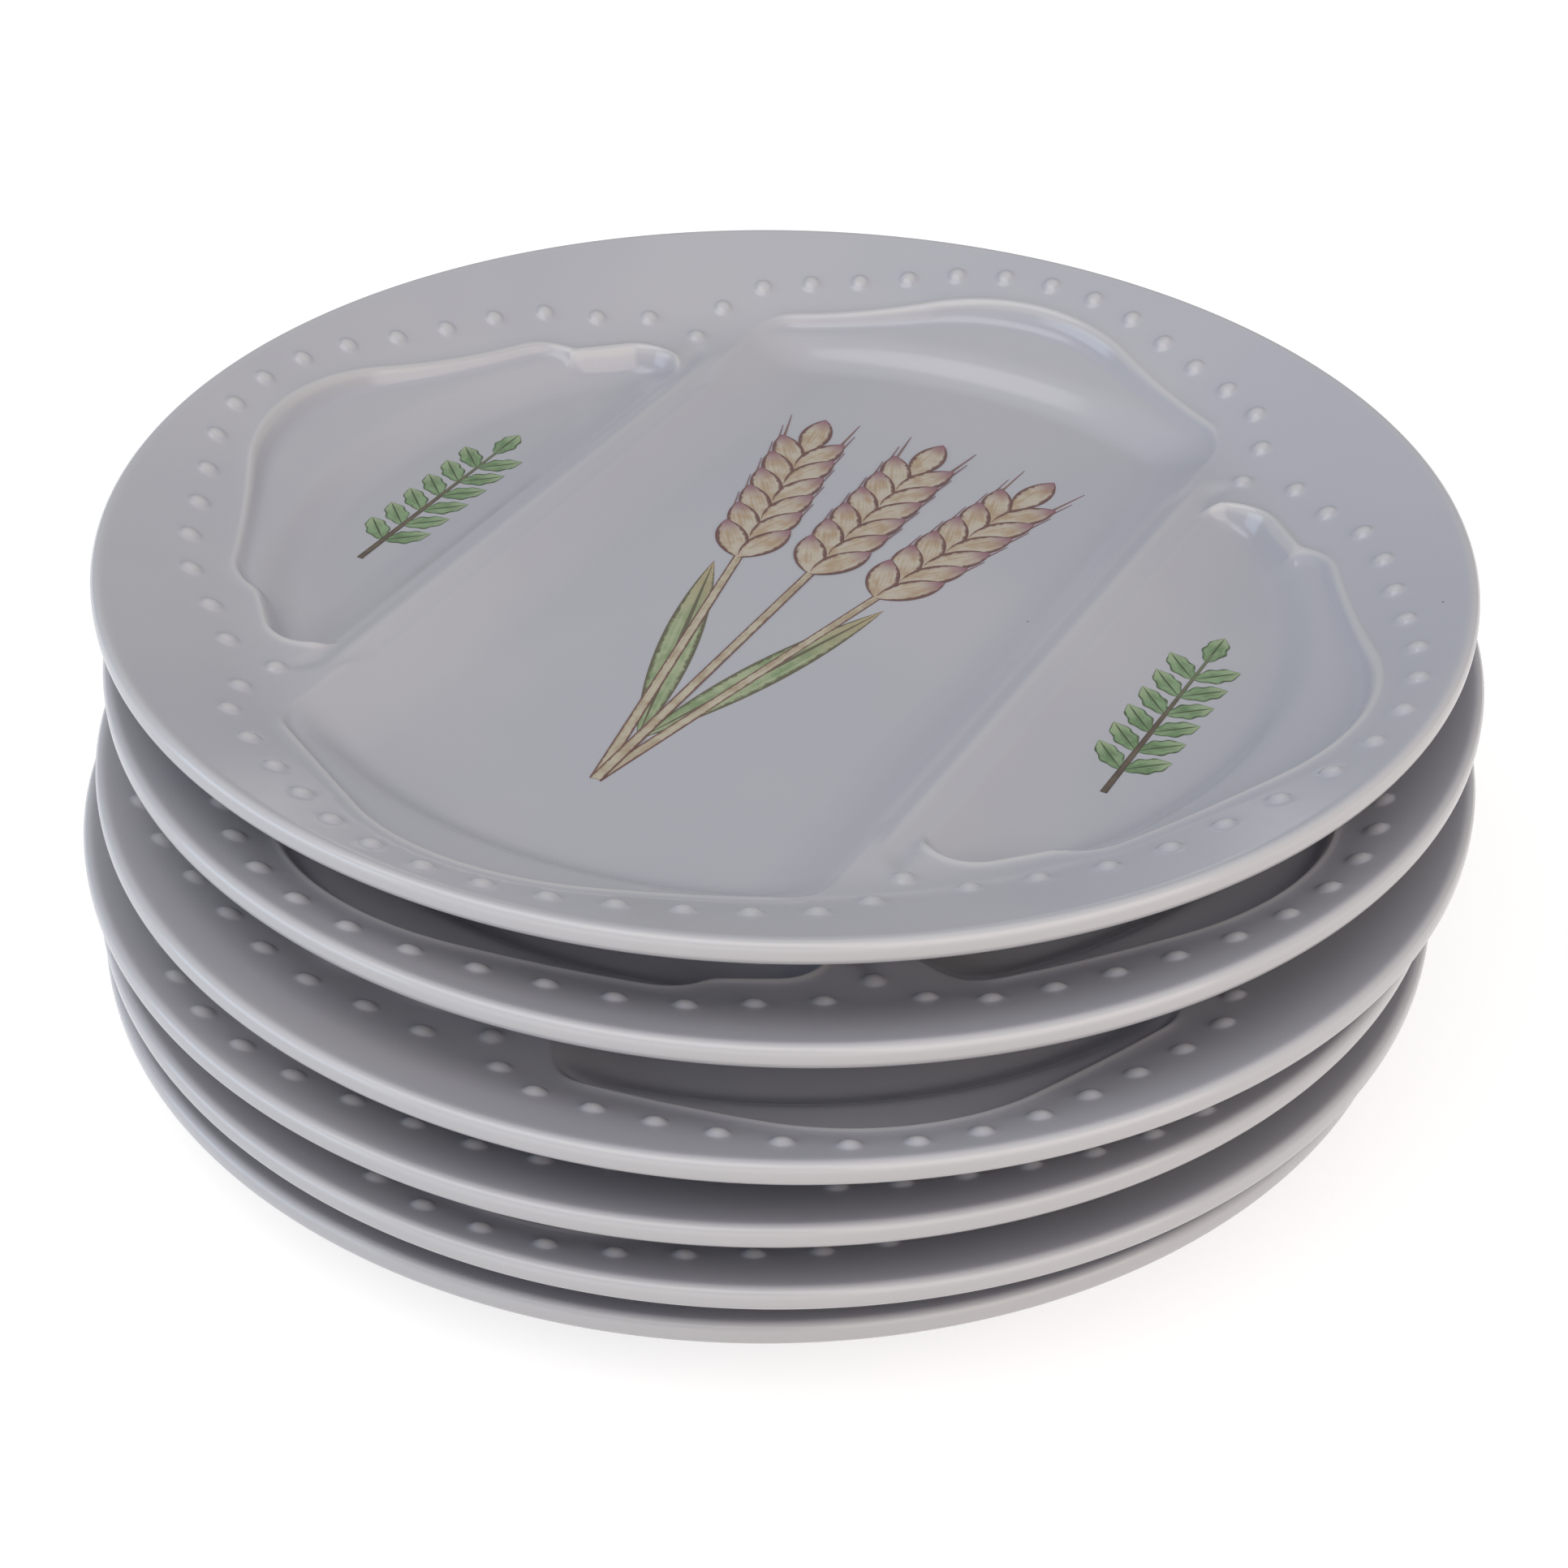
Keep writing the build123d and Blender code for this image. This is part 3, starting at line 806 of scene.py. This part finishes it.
def printMesh(name, leaves, foot):
    # leaves: (length, half width, place up the stem, turn, ink), drawn in order
    bm = bmesh.new()
    bm.loops.layers.uv.new("leafMap")
    for level, (length, half, start, turn, ink) in enumerate(leaves):
        addLeaf(bm, length, half, leafPlace(foot[0] + start[0], foot[1] + start[1], turn, level), ink)
    bmesh.ops.remove_doubles(bm, verts=bm.verts[:], dist=printForm["weld"])
    bmesh.ops.dissolve_degenerate(bm, edges=bm.edges[:], dist=printForm["weld"])
    grown = bmesh.ops.extrude_face_region(bm, geom=bm.faces[:], use_keep_orig=True)["geom"]
    lifted = [g for g in grown if isinstance(g, bmesh.types.BMVert)]
    bmesh.ops.translate(bm, verts=lifted, vec=(0.0, 0.0, printForm["film"]))
    bmesh.ops.recalc_face_normals(bm, faces=bm.faces[:])
    ground = dishHeight(np.array([v.co.x for v in bm.verts]), np.array([v.co.y for v in bm.verts]))
    for vert, height in zip(bm.verts, ground):
        vert.co.z += height
    mesh = bpy.data.meshes.new(name)
    bm.to_mesh(mesh)
    bm.free()
    return mesh


def onStalk(along, beside, fan):
    return along * math.cos(fan) - beside * math.sin(fan), along * math.sin(fan) + beside * math.cos(fan)


def earLeaves():
    # two blades, then three stalks fanned from one foot, each with its grains and awns
    p = printForm
    leaves = []
    blade = lensHalf(p["bladeLength"], p["bladeWidth"])
    for side in (1, -1):
        turn = side * math.radians(p["bladeAngle"])
        leaves.append((p["bladeLength"], blade, (p["bladeStart"], 0.0), turn, "blade"))
    pitch = (p["earLength"] - p["grainLength"]) / p["earRows"]
    grain = lensHalf(p["grainLength"], p["grainWidth"])
    for fan in (-p["fanAngle"], p["fanAngle"], 0.0):
        lean = math.radians(fan)
        stalk = p["stalkLength"] + p["earLength"] - p["grainLength"]
        leaves.append((stalk, stripHalf(p["stalkWidth"], p["stalkTaper"]), (0.0, 0.0), lean, "stalk"))
        end = p["stalkLength"] + p["earLength"]
        for row in reversed(range(p["earRows"])):
            along = p["stalkLength"] + row * pitch
            for side in (1, -1):
                turn = side * math.radians(p["grainAngle"])
                root = p["grainLength"] * p["awnRoot"]
                tip = along + root * math.cos(turn), root * math.sin(turn)
                length = min(p["awnLength"], end - tip[0])
                sway = lean + side * math.radians(p["awnAngle"])
                awn = stripHalf(p["awnWidth"], p["awnTaper"])
                leaves.append((length, awn, onStalk(*tip, lean), sway, "awn"))
        top = onStalk(p["stalkLength"] + p["earRows"] * pitch, 0.0, lean)
        leaves.append((p["grainLength"], grain, top, lean, "grain"))
        for row in reversed(range(p["earRows"])):
            along = p["stalkLength"] + row * pitch
            for side in (1, -1):
                turn = lean + side * math.radians(p["grainAngle"])
                leaves.append((p["grainLength"], grain, onStalk(along, 0.0, lean), turn, "grain"))
    return leaves


def sprigLeaves():
    s = sprigForm
    half = leafletHalf(s["leafletLength"], s["leafletWidth"])
    pitch = (s["length"] - s["leafletLength"] - s["leafletStart"]) / s["leafletPairs"]
    leaves = []
    for row in range(s["leafletPairs"]):
        for side in (1, -1):
            turn = side * math.radians(s["leafletAngle"])
            leaves.append((s["leafletLength"], half, (s["leafletStart"] + row * pitch, 0.0), turn, "leaflet"))
    leaves.append((s["leafletLength"], half, (s["length"] - s["leafletLength"], 0.0), 0.0, "leaflet"))
    stem = stripHalf(s["stemWidth"], s["stemTaper"])
    leaves.append((s["length"] - s["leafletLength"] * s["stemEnd"], stem, (0.0, 0.0), 0.0, "stem"))
    return leaves


sprigFoot, sprigSide = -sprigForm["length"] / 2, sprigForm["offset"]
motifs = {
    "centre_print": (printMesh("ears", earLeaves(), (-printForm["base"], 0.0)), "straw_print"),
    "left_sprig": (printMesh("leftSprig", sprigLeaves(), (sprigFoot, sprigSide)), "leaf_print"),
    "right_sprig": (printMesh("rightSprig", sprigLeaves(), (sprigFoot, -sprigSide)), "leaf_print"),
}
printInks = [inks[name] for name in inkOrder]
for number in range(1, plateCount + 1):
    for motif, (drawn, slot) in motifs.items():
        mesh = drawn.copy()
        mesh.name = f"plate{number}{motif}"
        mesh.transform(placeOf(number))
        body = f"plate_{number}"
        addPiece(f"plate{number}.{motif}", mesh, printInks, body, slot, f"{body}_{motif}")
print("prints placed:", len(motifs) * plateCount)

# studio: floor and backdrop, lights, camera
studioForm = {
    "floorSize": 6.0,
    "backdropRadius": 5.9,
    "backdropHeight": 0.5,
    "backdropSteps": 96,
    "floorColor": (0.60, 0.58, 0.565, 1.0),
    "floorGlow": (0.64, 1.0),     # near the plates and far off
    "glowReach": (0.30, 1.0),     # m
    "lampAim": (0.0, 0.0, 0.06),
    "worldColor": (0.89, 0.945, 1.0, 1.0),
    "worldStrength": 0.36,
}

lampForms = {
    # name: place in m, width and height in m, power in W, colour
    "window": ((-0.48, -0.56, 1.40), (1.7, 1.1), 11.0, (0.98, 0.98, 0.98)),
    "frontRight": ((0.85, -1.12, 0.72), (1.5, 1.4), 14.0, (1.0, 0.91, 0.83)),
    "leftSide": ((-1.45, -0.35, 0.30), (1.2, 0.8), 8.0, (0.66, 0.81, 1.0)),
}

cameraForm = {
    "aim": (1.35, 8.4, 102.25),   # mm, middle of the top plate's lip
    "rightward": 0.55,
    "upward": -49.48,
    "distance": 560.0,
    "elevation": 35.381,
    "roll": 1.23,
    "focal": 3626.9,              # pixels of an image 1932 wide
    "imageWidth": 1932.0,
    "sensor": 36.0,
    "clip": 0.01,
}


def paleMaterial():
    # pale and matt, and white to the rays that see it as the background
    material = bpy.data.materials.new("paleFloor")
    nodes, links, shader = nodesOf(material)
    shader.inputs["Base Color"].default_value = studioForm["floorColor"]
    shader.inputs["Roughness"].default_value = 0.9
    shader.inputs["Specular IOR Level"].default_value = 0.0
    path = nodes.new("ShaderNodeLightPath")
    seen = path.outputs["Is Camera Ray"]
    for kind in ("Is Glossy Ray", "Is Transmission Ray"):
        seen = mathOf(nodes, links, "MAXIMUM", seen, path.outputs[kind])
    away = nodes.new("ShaderNodeVectorMath")
    away.operation = "LENGTH"
    links.new(nodes.new("ShaderNodeTexCoord").outputs["Object"], away.inputs[0])
    glow = mapRange(nodes, links, away.outputs["Value"], *studioForm["glowReach"], *studioForm["floorGlow"])
    shader.inputs["Emission Color"].default_value = (1.0, 1.0, 1.0, 1.0)
    links.new(mathOf(nodes, links, "MULTIPLY", seen, glow), shader.inputs["Emission Strength"])
    return material


def addStage(name, bm, material):
    mesh = bpy.data.meshes.new(name)
    bm.to_mesh(mesh)
    bm.free()
    mesh.materials.append(material)
    obj = bpy.data.objects.new(name, mesh)
    bpy.context.scene.collection.objects.link(obj)
    return obj


def makeFloor():
    material = paleMaterial()
    bm = bmesh.new()
    bmesh.ops.create_grid(bm, x_segments=4, y_segments=4, size=studioForm["floorSize"])
    addStage("floor", bm, material)
    bm = bmesh.new()
    bmesh.ops.create_circle(bm, segments=studioForm["backdropSteps"], radius=studioForm["backdropRadius"])
    raised = bmesh.ops.extrude_edge_only(bm, edges=bm.edges[:])["geom"]
    top = [g for g in raised if isinstance(g, bmesh.types.BMVert)]
    bmesh.ops.translate(bm, verts=top, vec=(0.0, 0.0, studioForm["backdropHeight"]))
    backdrop = addStage("backdrop", bm, material)
    backdrop.visible_diffuse = False      # the low backdrop keeps no light off the plates
    backdrop.visible_shadow = False


def makeWorld():
    world = bpy.data.worlds.new("studio")
    bpy.context.scene.world = world
    world.use_nodes = True
    sky = world.node_tree.nodes["Background"]
    sky.inputs["Color"].default_value = studioForm["worldColor"]
    sky.inputs["Strength"].default_value = studioForm["worldStrength"]


def makeLamps():
    for name, (place, size, power, color) in lampForms.items():
        lamp = bpy.data.lights.new(name, "AREA")
        lamp.shape = "RECTANGLE"
        lamp.size, lamp.size_y = size
        lamp.energy = power
        lamp.color = color
        obj = bpy.data.objects.new(name, lamp)
        obj.location = place
        aim = Vector(studioForm["lampAim"]) - Vector(place)
        obj.rotation_euler = aim.to_track_quat("-Z", "Y").to_euler()
        bpy.context.scene.collection.objects.link(obj)


def makeCamera():
    c = cameraForm
    rise, roll = math.radians(c["elevation"]), math.radians(c["roll"])
    right = Vector((1.0, 0.0, 0.0))
    up = Vector((0.0, math.sin(rise), math.cos(rise)))
    back = Vector((0.0, -math.cos(rise), math.sin(rise)))
    place = Vector(c["aim"]) + right * c["rightward"] + up * c["upward"] + back * c["distance"]
    across = right * math.cos(roll) + up * math.sin(roll)
    upright = up * math.cos(roll) - right * math.sin(roll)
    data = bpy.data.cameras.new("camera")
    data.sensor_width = c["sensor"]
    data.lens = c["focal"] / c["imageWidth"] * c["sensor"]
    data.clip_start = c["clip"]
    camera = bpy.data.objects.new("camera", data)
    turn = Matrix((across, upright, back)).transposed().to_4x4()
    camera.matrix_world = Matrix.Translation(place * mm) @ turn
    bpy.context.scene.collection.objects.link(camera)
    bpy.context.scene.camera = camera


makeFloor()
makeWorld()
makeLamps()
makeCamera()
bpy.context.scene.view_settings.view_transform = "Standard"
print("studio ready")
